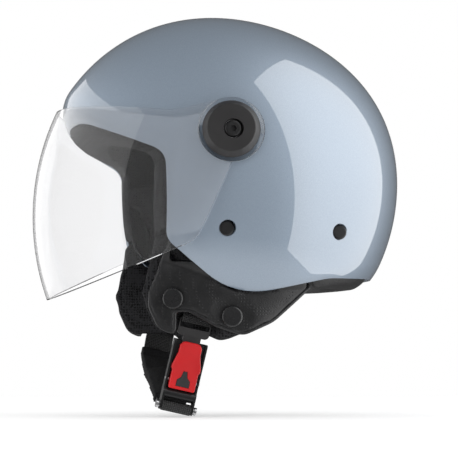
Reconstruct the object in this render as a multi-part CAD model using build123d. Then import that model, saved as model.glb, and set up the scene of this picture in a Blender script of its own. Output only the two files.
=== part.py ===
"""Open face motorcycle helmet with a flip-up clear visor and a ratchet-buckle chin strap.

Millimetres. +Z is up, the wearer looks along -Y and the wearer's left is +X. The origin is the
centre of the head space. Every domed layer is one egg shape, grown or shrunk from the outer shell.
"""

from build123d import *
from math import cos, pi, radians, sin, sqrt, tan
import os

SIDES = {"left": 1, "right": -1}
BIG = 400.0  # reaches past everything

# ---- the egg: half sizes of the outer shell and what makes it an egg ----
HALF_WIDTH = 120.0
HALF_LENGTH = 140.0
HALF_HEIGHT = 129.0
NOSE_TAPER = 0.16  # share by which the width shrinks towards the brow and grows towards the nape
NAPE_SWELL = 0.10  # the same for the height
BROW_LIFT = 16.5  # how far the section centres rise at the front and sink at the back

# ---- layers, from the outside in ----
SHELL_WALL = 4.0
EPS_WALL = 26.0
LINER_WALL = 7.0
LAYER_GAP = 0.4

# ---- the brow is drawn in a little, to a broad upright cylinder ----
BROW_FRONT_Y = -121.5
BROW_ROUND_R = 150.0

# ---- side view of the shell's edge (Y, Z), from the brow round the ear to the nape ----
BROW_EDGE = (-121.0, 41.8)
TEMPLE_CORNER = (-61.3, 14.4)
CHEEK_CORNER = (-58.3, -50.3)
EAR_LOW = (-5.0, -92.9)
NAPE_BREAK = (66.0, -78.0)
NAPE_EDGE_Z = -75.5
EDGE_RADII = (45.0, 16.0, 14.0, 62.0, 60.0)

# ---- visor ----
PIVOT_Y = -15.0
PIVOT_Z = 29.0
VISOR_WALL = 2.0
VISOR_EAR_R = 23.8
EAR_TILT_FORWARD = 11.0  # the ears lie along the shell: their fronts and tops lean inwards
EAR_TILT_UP = 5.0
VISOR_OPEN = 62.0  # how far the visor tips up
VISOR_CLEAR = 0.7  # least gap between an ear and the shell over the whole travel
VISOR_BOW_R = 190.0  # radius of the visor's front in side view
VISOR_NOSE_Y = -144.5
VISOR_NOSE_Z = -27.0
VISOR_TOP = ((-170.0, 59.0), (-56.0, 43.2))
VISOR_HEEL = (-40.0, -51.0)
VISOR_CHIN = (-170.0, -107.6)
VISOR_HEEL_R = 15.0
VISOR_NECK_R = 45.0

# ---- pivot hardware ----
CAP_R = 21.2
CAP_TOP_R = 17.6
CAP_THICK = 6.2
CAP_DISH_R = 7.2
SCREW_HEAD_R = 6.3
SCREW_HEAD_THICK = 3.2
SCREW_SHANK_R = 3.0
SCREW_HEX = 4.0
HUB_R = 5.2
SHOULDER_R = 9.5
WASHER_R = 6.6
WASHER_THICK = 0.8
NUT_R = 9.0
NUT_THICK = 5.0
RUNNING_GAP = 0.08
SEAT_GAP = 0.3

# ---- rivets that hold the strap hangers and the liner clips ----
FRONT_RIVET = (-16.0, -42.5)
REAR_RIVET = (69.7, -44.0)
RIVET_HEAD_R = 5.6
RIVET_HOLE_R = 6.1
RIVET_SHANK_R = 2.5
RIVET_TAIL_R = 4.0
RIVET_TAIL_THICK = 1.0
RIVET_SINK = 1.2
HANGER_R = 9.0
HANGER_THICK = 1.6

# ---- ear flaps and cheek pads ----
CURTAIN_HALF_WIDTH = 88.7  # at the top of the part that hangs below the shell
CURTAIN_HALF_HEIGHT = 230.0
CURTAIN_Z = -30.0
FLAP_WALL = 2.6
PAD_INNER_X = 57.0
# Pads and flaps start here, and run up behind the front of the cheek.
BELOW_SHELL = ((-BIG, -44.5), (-52.6, -44.5), (-52.6, -64.8), (BIG, -64.8), (BIG, -BIG), (-BIG, -BIG))
PAD_OUTLINE = ((-62.0, 6.0), (-63.5, -48.0), (-73.5, -93.0), (-61.0, -120.5), (-14.0, -129.0),
               (14.0, -117.5), (50.0, -88.0), (40.0, -40.0), (-20.0, 6.0))
PAD_RADII = (8.0, 40.0, 18.0, 16.0, 30.0, 30.0, 12.0, 30.0, 20.0)
FLAP_OUTLINE = ((-50.0, -40.0), (-69.5, -93.0), (-60.5, -114.5), (-48.0, -121.0), (-48.0, -101.5),
                (-38.0, -101.5), (-18.0, -112.5), (2.0, -119.0), (24.0, -109.0), (52.0, -84.0),
                (36.0, -66.0), (-30.0, -60.0))
FLAP_RADII = (6.0, 14.0, 12.0, 2.0, 3.0, 4.0, 12.0, 12.0, 30.0, 4.0, 20.0, 20.0)
SNAPS = ((-49.7, -92.8), (-6.7, -106.0))
SNAP_R = 7.9
SNAP_THICK = 3.0
STUD_R = 4.0
STUD_THICK = 2.4

# ---- neck roll ----
NECK_ROLL_FRONT_Y = 46.0
NECK_ROLL_TOP_Z = -60.0
NECK_ROLL_LOW_Z = -86.0
NECK_ROLL_WALL = 22.0

# ---- chin strap: it hangs in one plane that leans forward about the front rivets ----
STRAP_LEAN = 12.5
WEB_WIDTH = 22.0
WEB_THICK = 1.8
WEB_END = 9.0  # webbing above the rivet
WEB_BEND = 6.5  # distance below the rivet where the webbing turns in
WEB_EDGE = (70.5, 42.0)  # X, and distance below the rivets, where the strap passes the shell's edge
BAR_X = 62.0
BAR_DROP = 134.0
STRAP_FORWARD = 4.0
STRAP_BACK = 2.0  # spare room behind the strap in its slot
FOLD_REACH = 10.0  # length of the sewn fold round the tongue
CHIN_PAD_WIDTH = 28.0
CHIN_PAD_THICK = 8.0
CHIN_PAD_TOP = 87.0  # distance below the rivets
CHIN_PAD_END_X = 36.0

# ---- ratchet buckle, measured up from the cross bar along the strap ----
BAR_R = 2.2
BAR_LENGTH = 31.0
BAR_HEAD_R = 2.9
BAR_HEAD_THICK = 1.6
FRAME_WIDTH = 25.6
FRAME_WALL = 1.5
FRAME_TOP = 50.0
FRAME_FLOOR = -4.6
FRAME_RIM = 1.6
FRAME_LUG = 1.3  # wall round the cross bar
FRAME_RAMP = 13.0
GUIDE_LOW = 24.0
BARREL_U = 9.5
BARREL_R = 3.6
LEVER_PIN_U = 20.0
LEVER_PIN_N = 0.2
LEVER_PIN_R = 1.1
LEVER_REAR = 2.1  # how far the back of the lever's plate stands out
LEVER_THICK = 3.0
# Right half of the lever's face (across, up): body, shoulder and thumb end.
LEVER_FACE = ((10.0, 13.6), (10.0, 27.2), (11.0, 28.6), (11.0, 31.0), (8.3, 41.0), (8.3, 46.5),
              (6.6, 48.8), (4.5, 49.5))
LEVER_INLAY = ((5.2, 15.8), (5.2, 20.8), (2.6, 23.2), (1.6, 27.8))
INLAY_DEPTH = 0.9
LUG_UP = (16.8, 23.4)
LUG_SPAN = 19.8  # over both lugs
LUG_THICK = 2.3
TONGUE_WIDTH = 13.6
TONGUE_THICK = 2.0
TONGUE_N = -1.7
TONGUE_LOW = 27.0
TONGUE_HEAD = (53.5, 68.0)
TONGUE_HEAD_WIDTH = 24.4
TONGUE_HEAD_THICK = 3.6
TONGUE_SLOT = 6.0
TONGUE_BAR = 2.4
TOOTH_PITCH = 2.0
TOOTH_DEPTH = 0.9
SPRING_WIRE_R = 0.3
SPRING_TURNS = 4
SPRING_PLACE = 5.5  # beside the middle, just inside one of the lever's lugs


# ---------------------------------------------------------------- shared shapes
def egg_width(sine):
    """Half width of the shell's egg, as a share, where sine is Y over the half length."""
    return sqrt(1 - sine * sine) * (1 + NOSE_TAPER * sine)


def egg_x(y, z, grow=0.0):
    """X of the grown egg's left side at a place in side view."""
    sine = y / (HALF_LENGTH + grow)
    cosine = sqrt(1 - sine * sine)
    middle = -BROW_LIFT * sine * cosine**2
    height = (HALF_HEIGHT + grow) * cosine * (1 + NAPE_SWELL * sine)
    return (HALF_WIDTH + grow) * egg_width(sine) * sqrt(1 - ((z - middle) / height) ** 2)


def egg(grow=0.0):
    """The closed egg, lofted through upright ellipses from brow to nape."""
    sections = []
    for degrees in range(-86, 87, 8):
        sine = sin(radians(degrees + 2 if degrees < 0 else degrees))
        cosine = sqrt(1 - sine * sine)
        middle = -BROW_LIFT * sine * cosine**2
        plane = Plane((0, (HALF_LENGTH + grow) * sine, middle), x_dir=(1, 0, 0), z_dir=(0, 1, 0))
        height = (HALF_HEIGHT + grow) * cosine * (1 + NAPE_SWELL * sine)
        sections.append(plane * Ellipse((HALF_WIDTH + grow) * egg_width(sine), height))
    brow = Pos(0, BROW_FRONT_Y + BROW_ROUND_R, 0) * Cylinder(BROW_ROUND_R + grow, 2 * BIG)
    return loft(sections) & brow


def wall_x(y, z, radius, grow):
    """The least X of the grown egg under a disc of the given radius."""
    ring = [radians(10 * step) for step in range(36)]
    return min(egg_x(y + radius * cos(angle), z + radius * sin(angle), grow) for angle in ring)


def curtain(grow=0.0):
    """The tall egg whose wall the cheek pads and ear flaps follow below the shell."""
    sections = []
    for degrees in range(-72, 73, 12):
        sine = sin(radians(degrees))
        plane = Plane((0, HALF_LENGTH * sine, CURTAIN_Z), x_dir=(1, 0, 0), z_dir=(0, 1, 0))
        width = (CURTAIN_HALF_WIDTH + grow) * egg_width(sine)
        sections.append(plane * Ellipse(width, (CURTAIN_HALF_HEIGHT + grow) * sqrt(1 - sine * sine)))
    return loft(sections)


def side_prism(points, radii=None, low=-BIG, high=BIG):
    """A side-view outline (Y, Z) with rounded corners, extruded along X from low to high."""
    face = make_face(Polyline(*points, close=True))
    if radii:
        for point, radius in zip(points, radii):
            corner = face.vertices().sort_by_distance(Vector(*point, 0))[0]
            if radius > 0:
                face = fillet(corner, radius)
    return extrude(Plane.YZ.offset(low) * face, high - low)


def edge_outline(inset=0.0, radii=EDGE_RADII):
    """The shell's edge in side view, moved inwards by inset, as a prism of all that lies outside it."""
    points = [(-BIG, BROW_EDGE[1] + inset), (BROW_EDGE[0], BROW_EDGE[1] + inset),
              (TEMPLE_CORNER[0] + inset, TEMPLE_CORNER[1] + inset),
              (CHEEK_CORNER[0] + inset, CHEEK_CORNER[1] + inset / 2),
              (EAR_LOW[0], EAR_LOW[1] + inset), (NAPE_BREAK[0], NAPE_BREAK[1] + inset),
              (BIG, NAPE_EDGE_Z + inset)]
    line = FilletPolyline(*points, radius=list(radii))
    low = Polyline(points[-1], (BIG, -BIG), (-BIG, -BIG), points[0])
    return extrude(Plane.YZ * make_face(line + low), BIG, both=True)


def x_cylinder(side, y, z, radius, x_from, x_to):
    """A cylinder along X on one side, between two distances from the middle plane."""
    plane = Plane((side * x_from, y, z), x_dir=(0, 1, 0), z_dir=(side, 0, 0))
    return extrude(plane * Circle(radius), x_to - x_from)


def half_space(side):
    """A block that holds everything on one side of the middle plane."""
    return Pos(side * BIG / 2, 0, 0) * Box(BIG, 2 * BIG, 2 * BIG)


def largest(shape):
    """The largest solid of a result that may hold crumbs."""
    return shape.solids().sort_by(SortBy.VOLUME)[-1]


# ---------------------------------------------------------------- domed layers
def outer_shell(outside):
    shell = egg() - egg(-SHELL_WALL) - outside
    for side in SIDES.values():
        shell -= x_cylinder(side, PIVOT_Y, PIVOT_Z, SCREW_SHANK_R + SEAT_GAP, 0, BIG)
        for y, z in (FRONT_RIVET, REAR_RIVET):
            depth = egg_x(y, z) - RIVET_SINK - HANGER_THICK
            shell -= x_cylinder(side, y, z, RIVET_SHANK_R + RUNNING_GAP, 0, BIG)
            shell -= x_cylinder(side, y, z, RIVET_HOLE_R, depth, BIG)
    return largest(shell)


def strap_slot():
    """The room the strap sweeps through behind each flap, on both sides."""
    y, z = FRONT_RIVET
    reach = 95.0
    half = WEB_WIDTH / 2 + 2.5
    front = radians(STRAP_LEAN + STRAP_FORWARD)
    back = radians(STRAP_LEAN - STRAP_BACK)
    points = [(y - half - 3, z + 14), (y - half - 3, z),
              (y - reach * sin(front) - half - 1, z - reach * cos(front)),
              (y - reach * sin(back) + half + 1, z - reach * cos(back)),
              (y + half + 3, z), (y + half + 3, z + 14)]
    slot = side_prism(points)
    x_top, x_edge = web_top_x() - 5, WEB_EDGE[0] - 5
    drop = WEB_EDGE[1] * cos(radians(STRAP_LEAN))
    low_z = z - reach
    low_x = BAR_X + (BAR_DROP - reach) * (WEB_EDGE[0] - BAR_X) / (BAR_DROP - WEB_EDGE[1]) - 8
    core = make_face(Polyline((-x_top, z + 15), (-x_top, z + 2), (-x_edge, z - drop), (-low_x, low_z),
                              (low_x, low_z), (x_edge, z - drop), (x_top, z + 2), (x_top, z + 15),
                              close=True))
    return slot - extrude(Plane.XZ * core, BIG, both=True)


def eps_liner(outside, slot):
    foam = egg(-SHELL_WALL - LAYER_GAP) - egg(-SHELL_WALL - LAYER_GAP - EPS_WALL)
    floor = side_prism(((-BIG, -BIG), (-BIG, -64), (0, -64), (50, -57), (BIG, -57), (BIG, -BIG)))
    foam = foam - outside - floor - slot
    for side in SIDES.values():
        foam -= x_cylinder(side, PIVOT_Y, PIVOT_Z, NUT_R + 1, egg_x(PIVOT_Y, PIVOT_Z) - 14, BIG)
        for y, z in (FRONT_RIVET, REAR_RIVET):
            foam -= x_cylinder(side, y, z, HANGER_R + 1.5, egg_x(y, z) - 16, BIG)
    return largest(foam)


def liner_layer():
    outside = -SHELL_WALL - EPS_WALL - 2 * LAYER_GAP
    return egg(outside) - egg(outside - LINER_WALL)


def crown_liner(layer):
    keep = side_prism(((-BIG, 72), (BIG, 32), (BIG, BIG), (-BIG, BIG)))
    return largest(layer & keep)


def brow_liner(layer, outside, rim):
    """The fabric headband, with the lip that covers the foam's edge round the face."""
    keep = side_prism(((-BIG, 70.5), (-6, 50.8), (-6, -BIG), (-BIG, -BIG)))
    lip = (egg(-SHELL_WALL - LAYER_GAP) - egg(-SHELL_WALL - EPS_WALL - 2 * LAYER_GAP - 2)) - outside
    lip = (lip & rim) & side_prism(((-BIG, 60), (-40, 60), (-40, -44), (-BIG, -44)))
    band = (layer & keep) - outside - side_prism(((-45, -2), (-5, -2), (-5, -BIG), (-45, -BIG)))
    return largest(band + lip)


def nape_liner(layer):
    keep = side_prism(((-5, 50.7), (BIG, 30.5), (BIG, -54), (42, -54), (42, -2), (-5, -2)))
    return largest(layer & keep)


def neck_roll():
    """The padded roll along the back of the neck opening, which stands proud of the shell's edge."""
    body = egg(-SHELL_WALL - LAYER_GAP) - egg(-SHELL_WALL - LAYER_GAP - NECK_ROLL_WALL)
    keep = side_prism(((NECK_ROLL_FRONT_Y, NECK_ROLL_TOP_Z), (BIG, NECK_ROLL_TOP_Z + 2),
                       (BIG, NECK_ROLL_LOW_Z + 7), (100, NECK_ROLL_LOW_Z + 6),
                       (NECK_ROLL_FRONT_Y + 12, NECK_ROLL_LOW_Z)))
    return largest(body & keep)


# ---------------------------------------------------------------- cheek pads and flaps
def cheek_pad(side, pad_room, slot):
    pad = pad_room & side_prism(PAD_OUTLINE, PAD_RADII)
    pad = pad & half_space(side)
    pad -= Box(2 * PAD_INNER_X, BIG, 2 * BIG)
    return largest(pad - slot)


def ear_flap(side, flap_layer):
    flap = (flap_layer & side_prism(FLAP_OUTLINE, FLAP_RADII)) & half_space(side)
    for y, z in SNAPS:
        hole = flap_plane(side, y, z).offset(-3 * FLAP_WALL) * Circle(STUD_R / 2 + SEAT_GAP)
        flap -= extrude(hole, 6 * FLAP_WALL)
    return largest(flap)


def flap_x(y, z):
    """X of the ear flap's outer face below the shell."""
    sine = y / HALF_LENGTH
    height = CURTAIN_HALF_HEIGHT * sqrt(1 - sine * sine)
    return CURTAIN_HALF_WIDTH * egg_width(sine) * sqrt(1 - ((z - CURTAIN_Z) / height) ** 2)


def flap_plane(side, y, z):
    """A plane that touches the flap's outer face, with its normal outwards."""
    step = 4.0
    slope_y = (flap_x(y + step, z) - flap_x(y - step, z)) / (2 * step)
    slope_z = (flap_x(y, z + step) - flap_x(y, z - step)) / (2 * step)
    normal = Vector(side, -slope_y, -slope_z).normalized()
    return Plane((side * flap_x(y, z), y, z), x_dir=(0, 1, 0), z_dir=normal)


def snap_caps(side):
    """Two domed press-stud caps on the outside of a flap, each with its post."""
    caps = []
    for y, z in SNAPS:
        plane = flap_plane(side, y, z).offset(SEAT_GAP)
        cap = extrude(plane * Circle(SNAP_R), SNAP_THICK)
        cap = fillet(cap.edges().group_by(lambda e: (e.center() - plane.origin).dot(plane.z_dir))[-1],
                     SNAP_THICK * 0.6)
        post = extrude(plane * Circle(STUD_R / 2), -FLAP_WALL - 3 * SEAT_GAP)
        caps.append(cap + post)
    return Compound(caps)


def stud_beds(side):
    """The room for the studs and the ends of the caps' posts in the cheek pad."""
    depth = FLAP_WALL + STUD_THICK + 2 * SEAT_GAP
    return [extrude(flap_plane(side, y, z) * Circle(STUD_R + SEAT_GAP), -depth) for y, z in SNAPS]


def snap_studs(side):
    """The sockets behind the flap that the caps press into, bedded in the cheek pad."""
    studs = []
    for y, z in SNAPS:
        plane = flap_plane(side, y, z).offset(-FLAP_WALL - SEAT_GAP)
        studs.append(extrude(plane * Circle(STUD_R), -STUD_THICK)
                     - extrude(plane * Circle(STUD_R / 2 + RUNNING_GAP), -1.4))
    return Compound(studs)


# ---------------------------------------------------------------- visor
def ear_drop(angle):
    """How far an ear leans inwards for each millimetre from the pivot; angle is above forwards."""
    return tan(radians(EAR_TILT_FORWARD)) * cos(angle) + tan(radians(EAR_TILT_UP)) * sin(angle)


def ear_axis_x():
    """X where an ear's inner face crosses the pivot axis, so that the turning ear clears the shell."""
    needed = 0.0
    for degrees in range(0, 360, 5):
        for turned in range(0, int(VISOR_OPEN) + 1, 2):
            angle = radians(degrees + turned)
            y = PIVOT_Y - VISOR_EAR_R * cos(angle)
            z = PIVOT_Z + VISOR_EAR_R * sin(angle)
            needed = max(needed, egg_x(y, z) + VISOR_EAR_R * ear_drop(radians(degrees)))
    return needed + VISOR_CLEAR


def ear_plane(side, out=0.0):
    """The plane of an ear's inner face moved outwards, centred on the pivot axis."""
    normal = Vector(side, -tan(radians(EAR_TILT_FORWARD)), tan(radians(EAR_TILT_UP))).normalized()
    return Plane((side * ear_axis_x(), PIVOT_Y, PIVOT_Z), x_dir=(0, 1, 0), z_dir=normal).offset(out)


def visor_reach(angle):
    """Distance from the pivot to the visor's front in the middle plane; angle is above forwards."""
    centre_y = VISOR_NOSE_Y + VISOR_BOW_R - PIVOT_Y
    centre_z = VISOR_NOSE_Z - PIVOT_Z
    along = -centre_y * cos(angle) + centre_z * sin(angle)
    return along + sqrt(along**2 + VISOR_BOW_R**2 - centre_y**2 - centre_z**2)


def visor_arc(angle, axis_x, reach):
    """The visor's curve from ear to ear in the plane through the pivot axis at angle."""
    points = []
    start = VISOR_EAR_R - 1.5
    for step in range(25):
        turn = pi * step / 24
        out = start + (reach - start) * sin(turn)
        points.append(((axis_x - ear_drop(angle) * out) * cos(turn), -out))
    return Spline(*points)


def visor_section(angle, axis_x):
    plane = Plane((0, PIVOT_Y, PIVOT_Z), x_dir=(1, 0, 0), z_dir=(0, sin(angle), cos(angle)))
    outer = visor_arc(angle, axis_x + VISOR_WALL, visor_reach(angle))
    inner = visor_arc(angle, axis_x, visor_reach(angle) - VISOR_WALL)
    return plane * make_face(outer + inner + Line(outer @ 0, inner @ 0) + Line(outer @ 1, inner @ 1))


def visor_outline():
    """The visor in side view, without its round ears."""
    crown = (PIVOT_Y - 6, PIVOT_Z + VISOR_EAR_R - 1.0)
    back = (PIVOT_Y + 8, PIVOT_Z - 5)
    face = make_face(Polyline(*VISOR_TOP, crown, back, VISOR_HEEL, VISOR_CHIN, close=True))
    for corner, radius in ((VISOR_TOP[1], VISOR_NECK_R), (VISOR_HEEL, VISOR_HEEL_R)):
        face = fillet(face.vertices().sort_by_distance(Vector(*corner, 0))[0], radius)
    return extrude(Plane.YZ * face, BIG, both=True)


def visor():
    """Clear shield, with an ear that is a little thicker than the blade it grows out of."""
    axis_x = ear_axis_x()
    blank = loft([visor_section(radians(degrees), axis_x) for degrees in range(-105, 91, 15)])
    clear = largest(blank & visor_outline())
    for side in SIDES.values():
        clear += extrude(ear_plane(side, -0.1) * Circle(VISOR_EAR_R), VISOR_WALL + 0.2)
    for side in SIDES.values():
        clear -= x_cylinder(side, PIVOT_Y, PIVOT_Z, HUB_R + RUNNING_GAP, 0, BIG)
    return largest(clear)


# ---------------------------------------------------------------- pivot hardware
def hub_end_x():
    """X of the hub's end, which is where the screw's washer seats."""
    return ear_axis_x() + VISOR_WALL + CAP_THICK - SCREW_HEAD_THICK - WASHER_THICK


def pivot_base(side):
    """The boss on the shell, with a shoulder that the leaning ear clears and the hub it turns on."""
    lean = SHOULDER_R * (tan(radians(EAR_TILT_FORWARD)) + tan(radians(EAR_TILT_UP)))
    shoulder = ear_axis_x() - lean - SEAT_GAP
    foot = x_cylinder(side, PIVOT_Y, PIVOT_Z, SHOULDER_R, 80, shoulder)
    hub = x_cylinder(side, PIVOT_Y, PIVOT_Z, HUB_R, 80, hub_end_x())
    bore = x_cylinder(side, PIVOT_Y, PIVOT_Z, SCREW_SHANK_R + SEAT_GAP, 0, BIG)
    return largest(foot + hub - egg(LAYER_GAP / 4) - bore)


def pivot_washer(side):
    ring = x_cylinder(side, PIVOT_Y, PIVOT_Z, WASHER_R, hub_end_x(), hub_end_x() + WASHER_THICK)
    return ring - x_cylinder(side, PIVOT_Y, PIVOT_Z, SCREW_SHANK_R + SEAT_GAP, 0, BIG)


def pivot_cap(side):
    """The black disc on the ear, which turns with the visor and is held by the screw's washer."""
    seat = ear_plane(side, VISOR_WALL + 0.15)
    body = loft([seat * Circle(CAP_R), seat.offset(CAP_THICK) * Circle(CAP_TOP_R)])
    body = fillet(body.edges().group_by(lambda e: (e.center() - seat.origin).dot(seat.z_dir))[-1], 1.0)
    body -= x_cylinder(side, PIVOT_Y, PIVOT_Z, CAP_DISH_R, hub_end_x() - SEAT_GAP, BIG)
    return body - x_cylinder(side, PIVOT_Y, PIVOT_Z, HUB_R + RUNNING_GAP, 0, BIG)


def pivot_screw(side):
    """Domed socket screw through washer, hub and shell into the nut."""
    seat = hub_end_x() + WASHER_THICK
    head = x_cylinder(side, PIVOT_Y, PIVOT_Z, SCREW_HEAD_R, seat, seat + SCREW_HEAD_THICK)
    head = fillet(head.edges().group_by(lambda e: side * e.center().X)[-1], 1.6)
    plane = Plane((side * (seat + 1.2), PIVOT_Y, PIVOT_Z), x_dir=(0, 1, 0), z_dir=(side, 0, 0))
    head -= extrude(plane * RegularPolygon(SCREW_HEX / 2, 6, major_radius=False), BIG)
    inner = egg_x(PIVOT_Y, PIVOT_Z) - SHELL_WALL - NUT_THICK
    return head + x_cylinder(side, PIVOT_Y, PIVOT_Z, SCREW_SHANK_R, inner - 1, seat)


def pivot_nut(side):
    """The flanged insert bedded in the foam behind the shell."""
    back = egg_x(PIVOT_Y, PIVOT_Z) - SHELL_WALL - NUT_THICK - 2
    nut = x_cylinder(side, PIVOT_Y, PIVOT_Z, NUT_R, back, BIG / 2) & egg(-SHELL_WALL - LAYER_GAP / 2)
    nut -= x_cylinder(side, PIVOT_Y, PIVOT_Z, SCREW_SHANK_R + RUNNING_GAP / 2, 0, BIG)
    return largest(nut)


# ---------------------------------------------------------------- rivets
def plate_x(place):
    """X of the outer face of the plate that a rivet holds against the inside of the shell."""
    return wall_x(*place, HANGER_R, -SHELL_WALL) - LAYER_GAP


def web_top_x():
    """X of the middle of the webbing where it hangs on the front rivets."""
    return plate_x(FRONT_RIVET) - HANGER_THICK - SEAT_GAP - WEB_THICK / 2


def rivet(side, place, grip_x):
    """Domed head sunk in the shell, shank, and the tail spread behind whatever it grips."""
    y, z = place
    floor = egg_x(y, z) - RIVET_SINK - HANGER_THICK
    head = x_cylinder(side, y, z, RIVET_HEAD_R, floor, floor + 2.0)
    head = fillet(head.edges().group_by(lambda e: side * e.center().X)[-1], 1.4)
    tail = x_cylinder(side, y, z, RIVET_TAIL_R, grip_x - SEAT_GAP - RIVET_TAIL_THICK, grip_x - SEAT_GAP)
    return head + tail + x_cylinder(side, y, z, RIVET_SHANK_R, grip_x - SEAT_GAP, floor)


def rivet_pair(place, grip_x):
    return Compound([rivet(side, place, grip_x) for side in SIDES.values()])


def liner_clips():
    """Plastic discs behind the rear rivets, which hold the back of the fabric liner."""
    clips = []
    y, z = REAR_RIVET
    for side in SIDES.values():
        outer = plate_x(REAR_RIVET)
        disc = x_cylinder(side, y, z, HANGER_R, outer - HANGER_THICK, outer)
        clips.append(disc - x_cylinder(side, y, z, RIVET_SHANK_R + RUNNING_GAP, 0, BIG))
    return Compound(clips)


# ---------------------------------------------------------------- chin strap
def strap_plane():
    """Origin between the front rivets, x to the wearer's left, y up the strap."""
    lean = radians(STRAP_LEAN)
    return Plane((0, *FRONT_RIVET), x_dir=(1, 0, 0), z_dir=(0, -cos(lean), sin(lean)))


def strip(points, radii, thick, width):
    """A flat strip whose centreline is a polyline with rounded corners in the strap plane."""
    line = FilletPolyline(*points, radius=list(radii)) if radii else Polyline(*points)
    face = trace(line, thick)
    return extrude(strap_plane() * face, width / 2, both=True)


def buckle_angle():
    return (WEB_EDGE[0] - BAR_X) / (BAR_DROP - WEB_EDGE[1])


def buckle_point(up, out=0.0):
    """Strap-plane place of a point up the buckle from the cross bar and out from its middle."""
    slope = buckle_angle()
    size = sqrt(1 + slope * slope)
    return (BAR_X + (slope * up + out) / size, -BAR_DROP + (up - slope * out) / size)


def buckle_prism(points, width, radii=None):
    """An outline in the buckle's side view (up, out), extruded across the strap."""
    face = make_face(Polyline(*[buckle_point(*p) for p in points], close=True))
    if radii:
        for point, radius in zip(points, radii):
            if radius > 0:
                corner = face.vertices().sort_by_distance(Vector(*buckle_point(*point), 0))[0]
                face = fillet(corner, radius)
    return extrude(strap_plane() * face, width / 2, both=True)


def buckle_rod(up, out, radius, half):
    return extrude(strap_plane() * Pos(*buckle_point(up, out)) * Circle(radius), half, both=True)


def buckle_plane(out):
    """Plane parallel to the buckle's face: x across the strap, y up it, z outwards."""
    plane = strap_plane()
    origin = plane.from_local_coords(Vector(*buckle_point(0, out), 0))
    tip = plane.from_local_coords(Vector(*buckle_point(0, out + 1), 0))
    return Plane(origin, x_dir=-plane.z_dir, z_dir=tip - origin)


def web_left():
    """From the left hanger to the fold sewn round the tongue's bar."""
    hole = TONGUE_HEAD_THICK / 2 + SEAT_GAP
    half = hole + WEB_THICK
    low = TONGUE_HEAD[1] - TONGUE_BAR - SEAT_GAP
    high = TONGUE_HEAD[1] + SEAT_GAP
    fold = [(low - WEB_THICK, -half), (low - WEB_THICK, half), (high, half),
            (high + FOLD_REACH, WEB_THICK / 2), (high + FOLD_REACH, -WEB_THICK / 2), (high, -half)]
    eye = [(low, -hole), (low, hole), (high, hole), (high + FOLD_REACH / 3, 0), (high, -hole)]
    shift = [[(up, out + TONGUE_N) for up, out in outline] for outline in (fold, eye)]
    top = web_top_x()
    run = strip(((top, WEB_END), (top, -WEB_BEND), (WEB_EDGE[0], -WEB_EDGE[1]),
                 buckle_point(high + FOLD_REACH + 1, TONGUE_N), buckle_point(high + FOLD_REACH - 1, TONGUE_N)),
                (9, 18, 1), WEB_THICK, WEB_WIDTH)
    web = run + buckle_prism(shift[0], WEB_WIDTH) - buckle_prism(shift[1], 2 * WEB_WIDTH)
    return largest(web - x_cylinder(1, *FRONT_RIVET, RIVET_SHANK_R + RUNNING_GAP, 0, BIG))


def right_run(thick, width):
    """A strip along the right webbing's path, from its hanger under the chin to the cross bar."""
    top = web_top_x()
    wrap = BAR_R + LAYER_GAP / 4 + WEB_THICK / 2
    end = buckle_point(-wrap * 0.8, -wrap * 0.6)
    points = ((-top, WEB_END), (-top, -WEB_BEND), (-WEB_EDGE[0], -WEB_EDGE[1]),
              (-WEB_EDGE[0] + 1, -93), (-35, -109), (22, -126), end)
    return strip(points, (9, 18, 22, 60, 40), thick, width)


def web_right():
    wrap = BAR_R + LAYER_GAP / 4
    web = right_run(WEB_THICK, WEB_WIDTH) + buckle_rod(0, 0, wrap + WEB_THICK, WEB_WIDTH / 2)
    web -= buckle_rod(0, 0, wrap, WEB_WIDTH)
    return largest(web - x_cylinder(-1, *FRONT_RIVET, RIVET_SHANK_R + RUNNING_GAP, 0, BIG))


def chin_pad():
    """The padded sleeve that the right webbing runs through under the chin."""
    window = strap_plane() * Pos(0, -BIG / 2 - CHIN_PAD_TOP) * Rectangle(2 * BIG, BIG)
    keep = extrude(window, CHIN_PAD_WIDTH, both=True) & (Pos(CHIN_PAD_END_X - BIG / 2, 0, 0)
                                                         * Box(BIG, 2 * BIG, 2 * BIG))
    sleeve = right_run(CHIN_PAD_THICK, CHIN_PAD_WIDTH) & keep
    return largest(sleeve - right_run(WEB_THICK + 0.6, WEB_WIDTH + 0.6))


def strap_hanger(side):
    """Steel plate between the shell and the webbing on the front rivet."""
    y, z = FRONT_RIVET
    plate = x_cylinder(side, y, z, HANGER_R, plate_x(FRONT_RIVET) - HANGER_THICK, plate_x(FRONT_RIVET))
    return plate - x_cylinder(side, y, z, RIVET_SHANK_R + RUNNING_GAP, 0, BIG)


def cross_bar():
    bar = buckle_rod(0, 0, BAR_R, BAR_LENGTH / 2)
    heads = buckle_rod(0, 0, BAR_HEAD_R, BAR_LENGTH / 2) - buckle_rod(0, 0, BIG, BAR_LENGTH / 2
                                                                      - BAR_HEAD_THICK)
    return largest(bar + heads)


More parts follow.
